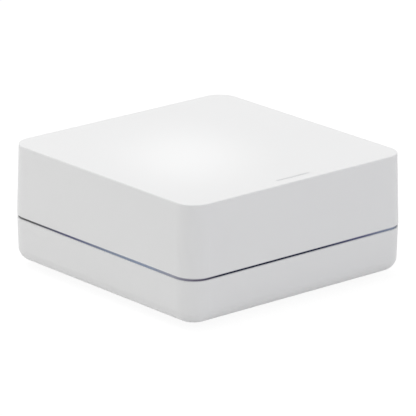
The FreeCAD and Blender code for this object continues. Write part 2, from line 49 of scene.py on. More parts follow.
WHITE_SHADE = (0.786, 0.7865, 0.785)
TEXTURE_SIZE = 0.40 * MM
TEXTURE_DEPTH = 0.005 * MM
SHADE_SIZE = 30 * MM
MIX_COLOURS = (6, 7)
MIX_RESULT = 2


class Wire:
    """A shader socket that takes part in sums."""

    def __init__(self, finish, socket):
        self.finish = finish
        self.socket = socket

    def sum(self, operation, *values):
        return self.finish.node("ShaderNodeMath", {"operation": operation}, *values)

    def through(self, operation):
        """The socket's value passed through a function of one number, such as SINE or SIGN."""
        return self.sum(operation, self)

    def __add__(self, other):
        return self.sum("ADD", self, other)

    def __sub__(self, other):
        return self.sum("SUBTRACT", self, other)

    def __rsub__(self, other):
        return self.sum("SUBTRACT", other, self)

    def __mul__(self, other):
        return self.sum("MULTIPLY", self, other)

    def __truediv__(self, other):
        return self.sum("DIVIDE", self, other)

    def __gt__(self, other):
        return self.sum("GREATER_THAN", self, other)

    def __lt__(self, other):
        return self.sum("LESS_THAN", self, other)

    __radd__ = __add__
    __rmul__ = __mul__


class Finish:
    """A material with one Principled shader, whose patterns lie in the object's own frame."""

    def __init__(self, name, **settings):
        self.material = bpy.data.materials.new(name)
        self.material.use_nodes = True
        self.nodes = self.material.node_tree.nodes
        self.links = self.material.node_tree.links
        self.shader = self.nodes["Principled BSDF"]
        self.output = self.nodes["Material Output"]
        self.place = Wire(self, self.nodes.new("ShaderNodeTexCoord").outputs["Object"])
        self.set(**settings)

    def feed(self, socket, value):
        if isinstance(value, Wire):
            self.links.new(value.socket, socket)
        elif isinstance(value, (tuple, list)) and len(value) == 3 and len(socket.default_value) == 4:
            socket.default_value = (*value, 1.0)
        else:
            socket.default_value = value

    def node(self, kind, settings=None, *values, out=0, **named):
        """Any node: its type, its settings, and the values or links of its sockets."""
        made = self.nodes.new(kind)
        for name, value in (settings or {}).items():
            setattr(made, name, value)
        for index, value in enumerate(values):
            self.feed(made.inputs[index], value)
        for name, value in named.items():
            self.feed(made.inputs[name.replace("_", " ")], value)
        return Wire(self, made.outputs[out])

    def noise(self, size, detail=2.0):
        """Cloudy pattern, 0 to 1, whose patches are about size metres across."""
        return self.node("ShaderNodeTexNoise", None, Vector=self.place, Scale=1 / size, Detail=detail)

    def axes(self):
        """The three coordinates of the place, in metres."""
        parts = self.node("ShaderNodeSeparateXYZ", None, self.place).socket.node
        return [Wire(self, socket) for socket in parts.outputs]

    def faces_up(self):
        """1 where the surface looks straight up, -1 where it looks down."""
        geometry = self.node("ShaderNodeNewGeometry", None, out="Normal")
        return self.node("ShaderNodeSeparateXYZ", None, geometry, out="Z")

    def blend(self, share, first, second):
        """Goes from the first colour to the second as share goes from 0 to 1.

        A Mix node has sockets for each kind of value, so its colours are taken by their place.
        """
        mix = self.nodes.new("ShaderNodeMix")
        mix.data_type = "RGBA"
        self.feed(mix.inputs["Factor"], share)
        for index, colour in zip(MIX_COLOURS, (first, second)):
            self.feed(mix.inputs[index], colour)
        return Wire(self, mix.outputs[MIX_RESULT])

    def set(self, **settings):
        for socket, value in settings.items():
            self.feed(self.shader.inputs[socket.replace("_", " ")], value)
        return self

    def emboss(self, height, depth):
        """Relief whose highest part stands depth metres over its lowest."""
        bump = self.node("ShaderNodeBump", None, Strength=1.0, Distance=depth, Height=height)
        return self.set(Normal=bump)

    def on(self, *names):
        for name in names:
            for slot in nodes[name].material_slots:
                slot.material = self.material


white = Finish("white_case_plastic", IOR=1.48)
grain = white.noise(TEXTURE_SIZE, 3.0)
white.set(Base_Color=white.blend(white.noise(SHADE_SIZE, 1.0), WHITE, WHITE_SHADE),
          Roughness=0.38 + grain * 0.08)
white.emboss(grain, TEXTURE_DEPTH)
white.on("top_cover", "base_shell")

# Reveal ring: one moulding of polished slate-blue plastic, laid on the base's rim and
# clamped by the cover, so that only its edge shows in the seam. The colour of that edge is
# painted reflection: a dark line along its middle, which widens and turns pale towards two
# opposite corners, and pale painted reflection above and below the line.
GRAPHITE = (0.09, 0.09, 0.09)
VIOLET = (0.09, 0.09, 0.19)
SLATE = (0.27, 0.32, 0.42)
PALE_SLATE = (0.32, 0.38, 0.50)
GREY_SLATE = (0.40, 0.41, 0.48)
DUSK = (0.16, 0.14, 0.20)
INK = (0.012, 0.013, 0.045)
NAVY = (0.001, 0.001, 0.025)
LIT_EDGE = (0.72, 0.73, 0.76)
LINE_HALF = 0.22 * MM
LINE_FADE = 0.08 * MM
LINE_DROP = 0.10 * MM
FIRST_CORNER = 135
TWO_SIDES = 180
# The tones of the painted reflection, laid by angle and repeated on each half of the ring.
PAINTED_REFLECTION_TONES = (  # degrees round the hub, colour of the middle line, how far it fills the edge
    (135, GRAPHITE, 0.0),
    (145, GRAPHITE, 0.0),
    (161, VIOLET, 0.15),
    (187, SLATE, 0.65),
    (208, PALE_SLATE, 1.0),
    (219, GREY_SLATE, 1.0),
    (226, DUSK, 0.25),
    (233, NAVY, 0.0),
    (262, NAVY, 0.0),
    (281, INK, 0.0),
    (300, VIOLET, 0.15),
    (311, SLATE, 0.35),
    (315, GRAPHITE, 0.0),
)
seam_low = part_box("reveal_ring")[0].z
seam_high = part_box("top_cover")[0].z
ring = Finish("polished_slate_ring", Roughness=0.24, Specular_IOR_Level=0.16)
across, along, rise = ring.axes()
angle = ring.node("ShaderNodeMath", {"operation": "ARCTAN2"}, along, across)
turn = ((angle - math.radians(FIRST_CORNER)) / math.radians(TWO_SIDES)).through("FRACT")
ramp = ring.nodes.new("ShaderNodeValToRGB")
ring.feed(ramp.inputs["Fac"], turn)
stops = ramp.color_ramp.elements
stops.remove(stops[1])
for degrees, colour, spread in PAINTED_REFLECTION_TONES:
    position = (degrees - FIRST_CORNER) / TWO_SIDES
    stop = stops.new(position) if position else stops[0]
    stop.color = (*colour, spread)
from_middle = (rise - (seam_low + seam_high) / 2 + LINE_DROP).through("ABSOLUTE")
off_line = ring.node("ShaderNodeMapRange", {"interpolation_type": "SMOOTHSTEP"}, from_middle,
                     LINE_HALF - LINE_FADE / 2, LINE_HALF + LINE_FADE / 2)
# Pale painted reflection above and below the middle line, where the tone does not fill the edge.
lit = off_line * (1 - Wire(ring, ramp.outputs["Alpha"]))
ring.set(Base_Color=ring.blend(lit, Wire(ring, ramp.outputs["Color"]), LIT_EDGE))
ring.on("reveal_ring")

# Main board: glass-fibre laminate, 1.6 mm thick, with green resist over its copper. The
# tracks show as slightly paler lines, and bare tinned rings lie round the screw holes.
RESIST = (0.010, 0.085, 0.035)
TRACK = (0.022, 0.150, 0.065)
LAMINATE = (0.42, 0.38, 0.20)
TINNED = (0.62, 0.62, 0.60)
TRACK_PITCH = 0.6 * MM
TRACK_SHARE = 0.45
BARE_PATCHES = 0.3
PATCH = 9 * MM
HOLE_RING = 2.7 * MM
COPPER_THICK = 0.03 * MM
board_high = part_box("main_board")[1]
foot_low, foot_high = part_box("foot_rear_right")
screw_place = (foot_low.x + foot_high.x) / 2
resist = Finish("green_solder_resist", IOR=1.5)
across, along, _ = resist.axes()
patch_colour = resist.node("ShaderNodeTexVoronoi", {"distance": "CHEBYCHEV"}, Vector=resist.place,
                           Scale=1 / PATCH, out="Color")
patch = resist.node("ShaderNodeSeparateColor", None, patch_colour, out="Red")
crosswise = patch > 0.5
lines = [(axis / TRACK_PITCH).through("FRACT") < TRACK_SHARE for axis in (across, along)]
tracks = lines[0] * crosswise + lines[1] * (1 - crosswise)
copper = resist.blend(tracks * (patch > BARE_PATCHES), RESIST, TRACK)
from_hole = [axis.through("ABSOLUTE") - screw_place for axis in (across, along)]
bare = (from_hole[0] * from_hole[0] + from_hole[1] * from_hole[1]).through("SQRT") < HOLE_RING
flat = resist.faces_up().through("ABSOLUTE") > 0.5
surface = resist.blend(bare, copper, TINNED)
resist.set(Base_Color=resist.blend(flat, LAMINATE, surface), Metallic=bare * flat,
           Roughness=0.34 + resist.noise(2 * MM) * 0.1)
resist.emboss(tracks, COPPER_THICK)
resist.on("main_board")

# Network socket: a black nylon block with eight sprung contacts, inside a shield that is
# folded from tinned brass sheet. Its legs are soldered into the board.
SHEET_EDGE = 0.07 * MM
TIN_BRIGHT = (0.56, 0.56, 0.55)
TIN_DULL = (0.42, 0.42, 0.42)
TIN_RIPPLE = 0.5 * MM
TIN_RELIEF = 0.006 * MM
NYLON = (0.012, 0.012, 0.013)
NYLON_PALE = (0.024, 0.024, 0.026)
MOULD_GRAIN = 0.15 * MM
MOULD_RELIEF = 0.004 * MM
SHARP_TURN = 32


def tinned_sheet(name, grain_size=3 * MM):
    """Tinned metal, with the faint clouding of a hot-dipped sheet."""
    made = Finish(name, Metallic=1.0)
    cloud = made.noise(grain_size, 4.0)
    made.set(Base_Color=made.blend(cloud, TIN_BRIGHT, TIN_DULL), Roughness=0.20 + cloud * 0.22)
    return made.emboss(made.noise(TIN_RIPPLE), TIN_RELIEF)


def ease(mesh, width, segments=2, angle=35):
    """Rounds every edge that turns by more than the angle, in degrees."""
    sharp = [edge for edge in mesh.edges
             if edge.is_manifold and edge.calc_face_angle() > math.radians(angle)]
    bmesh.ops.bevel(mesh, geom=sharp, offset=width, affect="EDGES", segments=segments, profile=0.5,
                    material=-1, clamp_overlap=True)


def piece(mesh, name, slot, finish, *replaced, body="case"):
    """Makes a finished mesh an object that moves with a body and may stand for CAD nodes."""
    shape = bpy.data.meshes.new(name)
    mesh.normal_update()
    mesh.to_mesh(shape)
    mesh.free()
    shape.shade_smooth()
    shape.set_sharp_from_angle(angle=math.radians(SHARP_TURN))
    shape.materials.append(finish.material)
    made = bpy.data.objects.new(name, shape)
    bpy.context.scene.collection.objects.link(made)
    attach(made, body)
    if replaced:
        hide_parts(*replaced)
    return made


def eased(node, name, slot, finish, width, body="case"):
    """The CAD piece with its sharp edges rounded, as moulding or stamping leaves them."""
    mesh = bmesh.new()
    mesh.from_mesh(nodes[node].data)
    bmesh.ops.remove_doubles(mesh, verts=mesh.verts, dist=0.001 * MM)
    bmesh.ops.dissolve_limit(mesh, angle_limit=math.radians(1), verts=mesh.verts, edges=mesh.edges)
    ease(mesh, width)
    return piece(mesh, name, slot, finish, node, body=body)


class Strip:
    """A strip of metal, drawn out of its end face by straight runs and bends."""

    def __init__(self, mesh, at, way, side, width, thick):
        self.mesh = mesh
        self.way = Vector(way).normalized()
        self.side = Vector(side).normalized()
        columns = (self.side * width, self.way.cross(self.side) * thick, self.way)
        place = Matrix.Translation(at) @ Matrix(columns).transposed().to_4x4()
        corners = bmesh.ops.create_grid(mesh, x_segments=1, y_segments=1, size=0.5, matrix=place)["verts"]
        self.end = corners[0].link_faces[0]

    def keep_face(self, drawn):
        self.end = next(part for part in drawn if isinstance(part, bmesh.types.BMFace))
        return self

    def run(self, length):
        drawn = bmesh.ops.extrude_face_region(self.mesh, geom=[self.end])["geom"]
        moved = [part for part in drawn if isinstance(part, bmesh.types.BMVert)]
        bmesh.ops.translate(self.mesh, verts=moved, vec=self.way * length)
        return self.keep_face(drawn)

    def bend(self, degrees, radius, steps=4):
        """Turns about the side direction, by the right hand."""
        turn = math.radians(degrees)
        inward = self.side.cross(self.way) * math.copysign(radius, turn)
        centre = self.end.calc_center_median() + inward
        around = [self.end, *self.end.edges, *self.end.verts]
        drawn = bmesh.ops.spin(self.mesh, geom=around, cent=centre, axis=self.side, angle=turn, steps=steps)
        self.way = Matrix.Rotation(turn, 3, self.side) @ self.way
        return self.keep_face(drawn["geom_last"])


def closed(mesh):
    bmesh.ops.recalc_face_normals(mesh, faces=mesh.faces)
    return mesh


tin = tinned_sheet("tinned_brass_sheet")
eased("ethernet_jack_shield", "jack_shield_folded", "tinplate", tin, SHEET_EDGE)
nylon = Finish("black_nylon", Roughness=0.48, IOR=1.5)
nylon.set(Base_Color=nylon.blend(nylon.noise(1.5 * MM), NYLON, NYLON_PALE))
nylon.emboss(nylon.noise(MOULD_GRAIN), MOULD_RELIEF)
nylon.on("ethernet_jack_housing")
shield_low, shield_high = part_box("ethernet_jack_shield")

# Contacts: eight phosphor-bronze wires, gold flashed. Each comes out of the roof of the
# mouth, turns back and slopes down to the comb at the rear, whose ribs keep them apart.
CONTACTS = 8
WIRE_WIDTH = 0.35 * MM
WIRE_THICK = 0.28 * MM
WIRE_BEND = 0.55 * MM
WIRE_TURN = 110
WIRE_SLOPE = 18
WIRE_START = (0, 0.35, -1)
WIRE_ROOT = 0.2 * MM
SLOPE_SHARE = 0.82
TIP_SHARE = 0.1
COMB_LENGTH = 2.4 * MM
COMB_RISE = 1.3 * MM
COMB_BACK = 0.4 * MM
COMB_DROP = 0.9 * MM
COMB_ROOT = 0.1 * MM
GOLD_DEEP = (0.86, 0.62, 0.24)
GOLD_PALE = (0.92, 0.74, 0.38)
gold = Finish("gold_flash", Metallic=1.0)
worn = gold.noise(0.8 * MM)
gold.set(Base_Color=gold.blend(worn, GOLD_DEEP, GOLD_PALE), Roughness=0.18 + worn * 0.12)
low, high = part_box("ethernet_contacts")
pitch = (high.x - low.x - WIRE_WIDTH) / (CONTACTS - 1)
wire_length = (high.y - low.y - WIRE_BEND) / math.cos(math.radians(WIRE_SLOPE))
springs = bmesh.new()
for index in range(CONTACTS):
    start = (low.x + WIRE_WIDTH / 2 + index * pitch, high.y - WIRE_BEND, high.z + WIRE_ROOT)
    strip = Strip(springs, start, WIRE_START, (1, 0, 0), WIRE_WIDTH, WIRE_THICK)
    strip.bend(-(WIRE_TURN - WIRE_SLOPE), WIRE_BEND, steps=6)
    strip.run(wire_length * SLOPE_SHARE)
    strip.bend(WIRE_SLOPE, WIRE_BEND * 2)
    strip.run(wire_length * TIP_SHARE)
piece(closed(springs), "jack_spring_contacts", "gold", gold, "ethernet_contacts")


def block(mesh, corner, other):
    """Adds a block between two opposite corners."""
    middle = (Vector(corner) + Vector(other)) / 2
    size = [abs(b - a) for a, b in zip(corner, other)]
    place = Matrix.Translation(middle) @ Matrix.Diagonal((*size, 1))
    bmesh.ops.create_cube(mesh, size=1, matrix=place)


comb = bmesh.new()
for index in range(CONTACTS + 1):
    middle = low.x + WIRE_WIDTH / 2 + (index - 0.5) * pitch
    half = (pitch - WIRE_WIDTH) / 4
    block(comb, (middle - half, low.y - COMB_BACK, high.z - COMB_RISE - COMB_DROP),
          (middle + half, low.y + COMB_LENGTH, high.z + COMB_ROOT))
ease(comb, 0.05 * MM)
piece(comb, "jack_comb", "black_plastic", nylon)

# Link lights: two small clear windows in the upper corners of the socket's face, moulded
# with their light pipes. One is tinted green and the other amber; both are unlit.
GREEN_TINT = (0.36, 0.52, 0.38)
AMBER_TINT = (0.62, 0.47, 0.26)
lens = Finish("tinted_light_window", Roughness=0.25, IOR=1.5, Transmission_Weight=0.35)
side, _, _ = lens.axes()
right_one = side > (shield_low.x + shield_high.x) / 2
lens.set(Base_Color=lens.blend(right_one, GREEN_TINT, AMBER_TINT))
lens.emboss(lens.noise(0.25 * MM), 0.01 * MM)
eased("ethernet_link_lights", "jack_light_windows", "clear_plastic", lens, 0.12 * MM)

# Power socket: a shell rolled from tinned steel round a black tongue, whose five strips
# are gold flashed. The shell's feet are soldered to the board.
eased("usb_socket_shell", "power_socket_shell", "tinplate", tin, SHEET_EDGE)
eased("usb_socket_tongue", "power_socket_tongue", "black_plastic", nylon, 0.06 * MM)
gold.on("usb_socket_contacts")

# Pairing button: a dark grey cap with a shallow dish for the fingertip. Its flange stays
# behind the rear wall, and it pushes the plunger of the switch behind it.
CAP_RADIUS = 2.0 * MM
CAP_EDGE = 0.28 * MM
FLANGE = 0.7 * MM
DISH = 0.22 * MM
NECK_EDGE = 0.1 * MM
FLANGE_EDGE = 0.08 * MM
TURN_STEPS = 64
DISH_STEPS = 8
CAP_GREY = (0.050, 0.052, 0.058)
CAP_GREY_PALE = (0.062, 0.064, 0.071)
satin_grey = Finish("dark_grey_satin", IOR=1.48)
speck = satin_grey.noise(0.3 * MM, 3.0)
satin_grey.set(Base_Color=satin_grey.blend(satin_grey.noise(2 * MM), CAP_GREY, CAP_GREY_PALE),
               Roughness=0.36 + speck * 0.1)
satin_grey.emboss(speck, 0.005 * MM)


def lathe(mesh, profile, centre, axis):
    """Turns a profile of (radius, height) once round the axis, on which it starts and ends."""
    upright = Vector((0, 0, 1)).rotation_difference(Vector(axis)).to_matrix().to_4x4()
    place = Matrix.Translation(centre) @ upright
    points = [mesh.verts.new(place @ Vector((radius, 0, height))) for radius, height in profile]
    line = [mesh.edges.new(pair) for pair in zip(points, points[1:])]
    bmesh.ops.spin(mesh, geom=points + line, cent=centre, axis=axis, angle=2 * math.pi,
                   steps=TURN_STEPS, use_merge=True)
    bmesh.ops.remove_doubles(mesh, verts=mesh.verts, dist=0.001 * MM)


def arc(radius, height, bend, start, end, steps=6):
    """Points of (radius, height) round a bend, between two angles in degrees."""
    turns = [math.radians(start + (end - start) * step / steps) for step in range(steps + 1)]
    return [(radius + bend * math.cos(turn), height + bend * math.sin(turn)) for turn in turns]


low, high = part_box("pairing_button")
cap_length = high.y - low.y
flange_radius = (high.x - low.x) / 2
rim = CAP_RADIUS - CAP_EDGE
dished = [(rim * step / DISH_STEPS, cap_length - DISH * math.cos(math.pi / 2 * step / DISH_STEPS) ** 2)
          for step in range(DISH_STEPS)]
profile = dished + arc(rim, cap_length - CAP_EDGE, CAP_EDGE, 90, 0) + [
    (CAP_RADIUS, FLANGE + NECK_EDGE),
    (CAP_RADIUS + NECK_EDGE, FLANGE),
    (flange_radius - FLANGE_EDGE, FLANGE),
    (flange_radius, FLANGE - FLANGE_EDGE),
    (flange_radius, FLANGE_EDGE),
    (flange_radius - FLANGE_EDGE, 0),
    (0, 0),
]
cap = bmesh.new()
centre = ((low.x + high.x) / 2, low.y, (low.z + high.z) / 2)
lathe(cap, profile, centre, (0, 1, 0))
piece(closed(cap), "button_cap", "grey_plastic", satin_grey, "pairing_button", body="button")
eased("switch_plunger", "switch_plunger_turned", "grey_plastic", satin_grey, 0.12 * MM, body="button")

# Pairing switch: a right-angle key switch on the board. A tinned frame is clipped over
# its black body, and its two flat terminals are soldered behind it.
eased("switch_body", "switch_body_moulded", "black_plastic", nylon, 0.12 * MM)
eased("switch_frame", "switch_frame_stamped", "tinplate", tin, SHEET_EDGE)
eased("switch_terminals", "switch_terminals_stamped", "tinplate", tin, 0.05 * MM)

# Status light: one clear acrylic moulding, frosted at its end, which lies flush in the
# slot of the cover. Two pegs of the cover hold its flange over the light-emitting chip.
PIPE_CLEAR = (0.66, 0.665, 0.675)
PIPE_FROST = (0.70, 0.70, 0.705)
PHOSPHOR = (0.85, 0.74, 0.28)
CHALK = (0.74, 0.74, 0.72)
CHALK_PALE = (0.80, 0.80, 0.78)
WINDOW_LONG = 0.34
WINDOW_WIDE = 0.32
pipe = Finish("frosted_acrylic", Roughness=0.42, IOR=1.49, Transmission_Weight=0.12)
pipe.set(Base_Color=pipe.blend(pipe.noise(0.8 * MM), PIPE_CLEAR, PIPE_FROST))
pipe.emboss(pipe.noise(0.12 * MM), 0.004 * MM)
pipe.on("status_light_pipe")
low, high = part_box("status_led")
middle = (low + high) / 2
package = Finish("light_chip_package", Roughness=0.35)
across, along, _ = package.axes()
near_x = (across - middle.x).through("ABSOLUTE") < (high.x - low.x) * WINDOW_LONG
near_y = (along - middle.y).through("ABSOLUTE") < (high.y - low.y) * WINDOW_WIDE
window = near_x * near_y * (package.faces_up() > 0.7)
chalk = package.blend(package.noise(1 * MM), CHALK, CHALK_PALE)
package.set(Base_Color=package.blend(window, chalk, PHOSPHOR))
eased("status_led", "light_chip", "clear_plastic", package, 0.08 * MM)

# Processor and memory: black epoxy over a green laminate, reflowed on solder balls. The
# network controller, the radio chip and the flash chip are all epoxy.
SUBSTRATE = 0.28 * MM
EPOXY = (0.014, 0.014, 0.015)
EPOXY_DUSTY = (0.030, 0.030, 0.031)
DOT_RADIUS = 0.35 * MM
DOT_INSET = 1.0 * MM
DOT_THICK = 0.04 * MM
DOT_TAPER = 0.9
PAD_RISE = 0.25 * MM
INK_GREY = (0.45, 0.45, 0.44)
INK_PALE = (0.55, 0.55, 0.54)


def epoxy(name, substrate=0.0, pad_pitch=0.0):
    """Moulded epoxy, with a laminate foot or a row of tinned pads along its lower edge."""
    made = Finish(name, IOR=1.52)
    dust = made.noise(0.12 * MM, 3.0)
    body = made.blend(made.noise(4 * MM), EPOXY, EPOXY_DUSTY)
    across, along, rise = made.axes()
    if substrate:
        body = made.blend(rise < board_high.z + substrate, body, TRACK)
    if pad_pitch:
        teeth = [(axis / pad_pitch).through("FRACT") < 0.5 for axis in (across, along)]
        pads = teeth[0] * teeth[1] * (rise < board_high.z + PAD_RISE)
        body = made.blend(pads, body, TINNED)
        made.set(Metallic=pads)
    made.set(Base_Color=body, Roughness=0.5 + dust * 0.12)
    return made.emboss(dust, 0.004 * MM)


moulded = epoxy("black_epoxy")
on_laminate = epoxy("epoxy_on_laminate", substrate=SUBSTRATE)
with_pads = epoxy("epoxy_with_edge_pads", pad_pitch=0.5 * MM)
for node, finish in (("processor", on_laminate), ("memory_chip", on_laminate),
                     ("ethernet_controller", with_pads), ("radio_chip", with_pads)):
    eased(node, f"{node}_package", "black_plastic", finish, 0.06 * MM)
dot_ink = Finish("pale_marking_ink", Roughness=0.6)
dot_ink.set(Base_Color=dot_ink.blend(dot_ink.noise(0.2 * MM), INK_GREY, INK_PALE))
dots = bmesh.new()
for node in ("processor", "memory_chip", "ethernet_controller"):
    low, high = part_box(node)
    place = Matrix.Translation((low.x + DOT_INSET, high.y - DOT_INSET, high.z))
    bmesh.ops.create_cone(dots, cap_ends=True, segments=24, radius1=DOT_RADIUS,
                          radius2=DOT_RADIUS * DOT_TAPER, depth=DOT_THICK, matrix=place)
piece(dots, "first_pin_dots", "ceramic", dot_ink)

# Flash chip, regulator and transformer: epoxy and plastic bodies on tinned leads, which
# come out half way up, turn down and lie flat on the board.
LEAD_THICK = 0.16 * MM
LEAD_BEND = 0.22 * MM
LEAD_ROOT = 0.05 * MM
leads = bmesh.new()


def gull_lead(at, way, width, foot):
    """One lead: out of the body's side, down to the board and out again."""
    drop = at.z - board_high.z - LEAD_THICK / 2 - LEAD_BEND * 2
    side = Vector((0, 0, 1)).cross(Vector(way))
    strip = Strip(leads, at, way, side, width, LEAD_THICK)
    strip.run(LEAD_BEND).bend(90, LEAD_BEND).run(drop).bend(-90, LEAD_BEND).run(foot)


def lead_rows(node, count, width, rise, axis, foot, ways=(-1, 1)):
    """Rows of leads on opposite sides of a chip, evenly spaced along its other side."""
    low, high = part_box(node)
    other = 1 - axis
    pitch = (high[other] - low[other]) / count
    for way in ways:
        for index in range(count):
            at = Vector((0, 0, board_high.z + rise))
            at[axis] = (high if way > 0 else low)[axis] - way * LEAD_ROOT
            at[other] = low[other] + pitch * (index + 0.5)
            direction = [0, 0, 0]
            direction[axis] = way
            gull_lead(at, direction, width, foot)


lead_rows("voltage_regulator", count=3, width=0.7 * MM, rise=0.9 * MM, axis=1, foot=0.5 * MM, ways=(-1,))
lead_rows("voltage_regulator", count=1, width=3.0 * MM, rise=0.9 * MM, axis=1, foot=0.35 * MM, ways=(1,))
lead_rows("ethernet_transformer", count=8, width=0.5 * MM, rise=1.6 * MM, axis=0, foot=0.5 * MM)
piece(closed(leads), "chip_leads", "tinplate", tin)
eased("voltage_regulator", "regulator_body", "black_plastic", moulded, 0.15 * MM)
eased("ethernet_transformer", "transformer_body", "black_plastic", nylon, 0.30 * MM)
eased("flash_chip", "flash_package", "black_plastic", with_pads, 0.05 * MM)

# Power inductor: a wound drum inside a pressed ferrite sleeve, glued to a square foot.
# The drum's round top shows in the sleeve.
DRUM_SHARE = 0.36
DRUM_GAP = 0.2 * MM
DRUM_DEPTH = 0.25 * MM
SLEEVE_CORNER = 1.1 * MM
SLEEVE_WALL = 0.7 * MM
FERRITE = (0.045, 0.045, 0.048)
FERRITE_PALE = (0.085, 0.085, 0.088)
ferrite = Finish("pressed_ferrite", Roughness=0.62)
ferrite.set(Base_Color=ferrite.blend(ferrite.noise(0.6 * MM, 4.0), FERRITE, FERRITE_PALE))
ferrite.emboss(ferrite.noise(0.2 * MM, 4.0), 0.01 * MM)
low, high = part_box("power_inductor")
middle = (low + high) / 2
sleeve = bmesh.new()
block(sleeve, low, high)
upright = [edge for edge in sleeve.edges if abs(edge.verts[0].co.z - edge.verts[1].co.z) > DRUM_GAP]
bmesh.ops.bevel(sleeve, geom=upright, offset=SLEEVE_CORNER, affect="EDGES", segments=5, profile=0.5,
                material=-1)
roof = max(sleeve.faces, key=lambda face: face.calc_center_median().z)
bmesh.ops.inset_region(sleeve, faces=[roof], thickness=SLEEVE_WALL)
bmesh.ops.translate(sleeve, verts=roof.verts, vec=(0, 0, -DRUM_DEPTH))
ease(sleeve, 0.08 * MM)
drum_radius = (high.x - low.x) * DRUM_SHARE
drum_place = Matrix.Translation((middle.x, middle.y, high.z - DRUM_DEPTH))
bmesh.ops.create_cone(sleeve, cap_ends=True, segments=40, radius1=drum_radius, radius2=drum_radius,
                      depth=DRUM_DEPTH * 2, matrix=drum_place)
piece(sleeve, "inductor_sleeve", "black_plastic", ferrite, "power_inductor")

# Electrolytic capacitors: two drawn aluminium cans with a rolled neck, each crimped on a
# black base with two of its corners cut off.
CAN_RADIUS = 2.4 * MM
CAN_EDGE = 0.45 * MM
BASE_HEIGHT = 1.0 * MM
NECK_RISE = 0.9 * MM
NECK_DEPTH = 0.18 * MM
NECK_STEPS = 6
CORNER_CUT = 0.9 * MM
DRAWN_SCALE = 900
ALUMINIUM = (0.74, 0.75, 0.76)
ALUMINIUM_PALE = (0.84, 0.85, 0.86)
aluminium = Finish("drawn_aluminium", Metallic=1.0)
drawn_lines = aluminium.node("ShaderNodeTexNoise", None, Vector=aluminium.place, Scale=DRAWN_SCALE,
                             Detail=2.0)
aluminium.set(Base_Color=aluminium.blend(drawn_lines, ALUMINIUM, ALUMINIUM_PALE),
              Roughness=0.24 + drawn_lines * 0.12)
low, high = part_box("bulk_capacitors")
base_side = high.x - low.x
cans = bmesh.new()
bases = bmesh.new()
can_height = high.z - low.z - BASE_HEIGHT
for y in (low.y + base_side / 2, high.y - base_side / 2):
    centre = Vector(((low.x + high.x) / 2, y, low.z + BASE_HEIGHT))
    neck = [(CAN_RADIUS - NECK_DEPTH * math.sin(math.pi * step / NECK_STEPS) ** 2,
             NECK_RISE * (0.5 + step / NECK_STEPS)) for step in range(NECK_STEPS + 1)]
    outline = [(0, 0), (CAN_RADIUS, 0)] + neck
    outline += arc(CAN_RADIUS - CAN_EDGE, can_height - CAN_EDGE, CAN_EDGE, 0, 90) + [(0, can_height)]
    lathe(cans, outline, centre, (0, 0, 1))
    block(bases, (low.x, y - base_side / 2, low.z), (high.x, y + base_side / 2, low.z + BASE_HEIGHT))
piece(closed(cans), "capacitor_cans", "capacitor_can", aluminium, "bulk_capacitors")
upright = [edge for edge in bases.edges
           if abs(edge.verts[0].co.z - edge.verts[1].co.z) > BASE_HEIGHT / 2]
cut_corners = [edge for edge in upright if edge.verts[0].co.x < low.x + MM]
bmesh.ops.bevel(bases, geom=cut_corners, offset=CORNER_CUT, affect="EDGES", segments=1, profile=0.5,
                material=-1)
ease(bases, 0.08 * MM)
piece(bases, "capacitor_bases", "black_plastic", nylon)

# Small capacitors and resistors: fired ceramic chips with tinned ends, held down by the
# fillets of solder at both ends.
END_SHARE = 0.24
END_PROUD = 0.03 * MM
SMALL_WIDTH = 0.8 * MM
CERAMIC = (0.30, 0.19, 0.10)
CERAMIC_PALE = (0.38, 0.26, 0.15)
GLAZE = (0.012, 0.012, 0.014)
GLAZE_PALE = (0.022, 0.022, 0.026)
fired = Finish("fired_ceramic", Roughness=0.42)
fired.set(Base_Color=fired.blend(fired.noise(0.9 * MM), CERAMIC, CERAMIC_PALE))
fired.on("chip_capacitors")
glazed = Finish("glazed_resistor", Roughness=0.3)
glazed.set(Base_Color=glazed.blend(glazed.noise(0.9 * MM), GLAZE, GLAZE_PALE))
glazed.on("chip_resistors")
ends = bmesh.new()
for node, count in (("chip_capacitors", 6), ("chip_resistors", 5)):
    low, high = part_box(node)
    step = (high.x - low.x - SMALL_WIDTH) / (count - 1)
    reach = (high.y - low.y) * END_SHARE
    for index in range(count):
        left = low.x + index * step - END_PROUD
        right = left + SMALL_WIDTH + END_PROUD * 2
        top = high.z + END_PROUD
        block(ends, (left, low.y - END_PROUD, low.z), (right, low.y + reach, top))
        block(ends, (left, high.y - reach, low.z), (right, high.y + END_PROUD, top))
ease(ends, 0.08 * MM)
solder = tinned_sheet("solder_dull", 0.6 * MM)
piece(ends, "chip_ends", "tinplate", solder)

# Crystals: drawn nickel-plated cans with well-rounded corners. They lie flat on the
# board and are soldered to it.
CAN_CORNER = 0.28 * MM
NICKEL = (0.66, 0.64, 0.60)
NICKEL_PALE = (0.74, 0.72, 0.68)
nickel = Finish("nickel_plate", Metallic=1.0)
haze = nickel.noise(1.2 * MM)
nickel.set(Base_Color=nickel.blend(haze, NICKEL, NICKEL_PALE), Roughness=0.2 + haze * 0.14)
eased("crystal_can", "crystal_can_drawn", "tinplate", nickel, CAN_CORNER)
eased("radio_crystal", "radio_crystal_drawn", "tinplate", nickel, CAN_CORNER * 0.7)
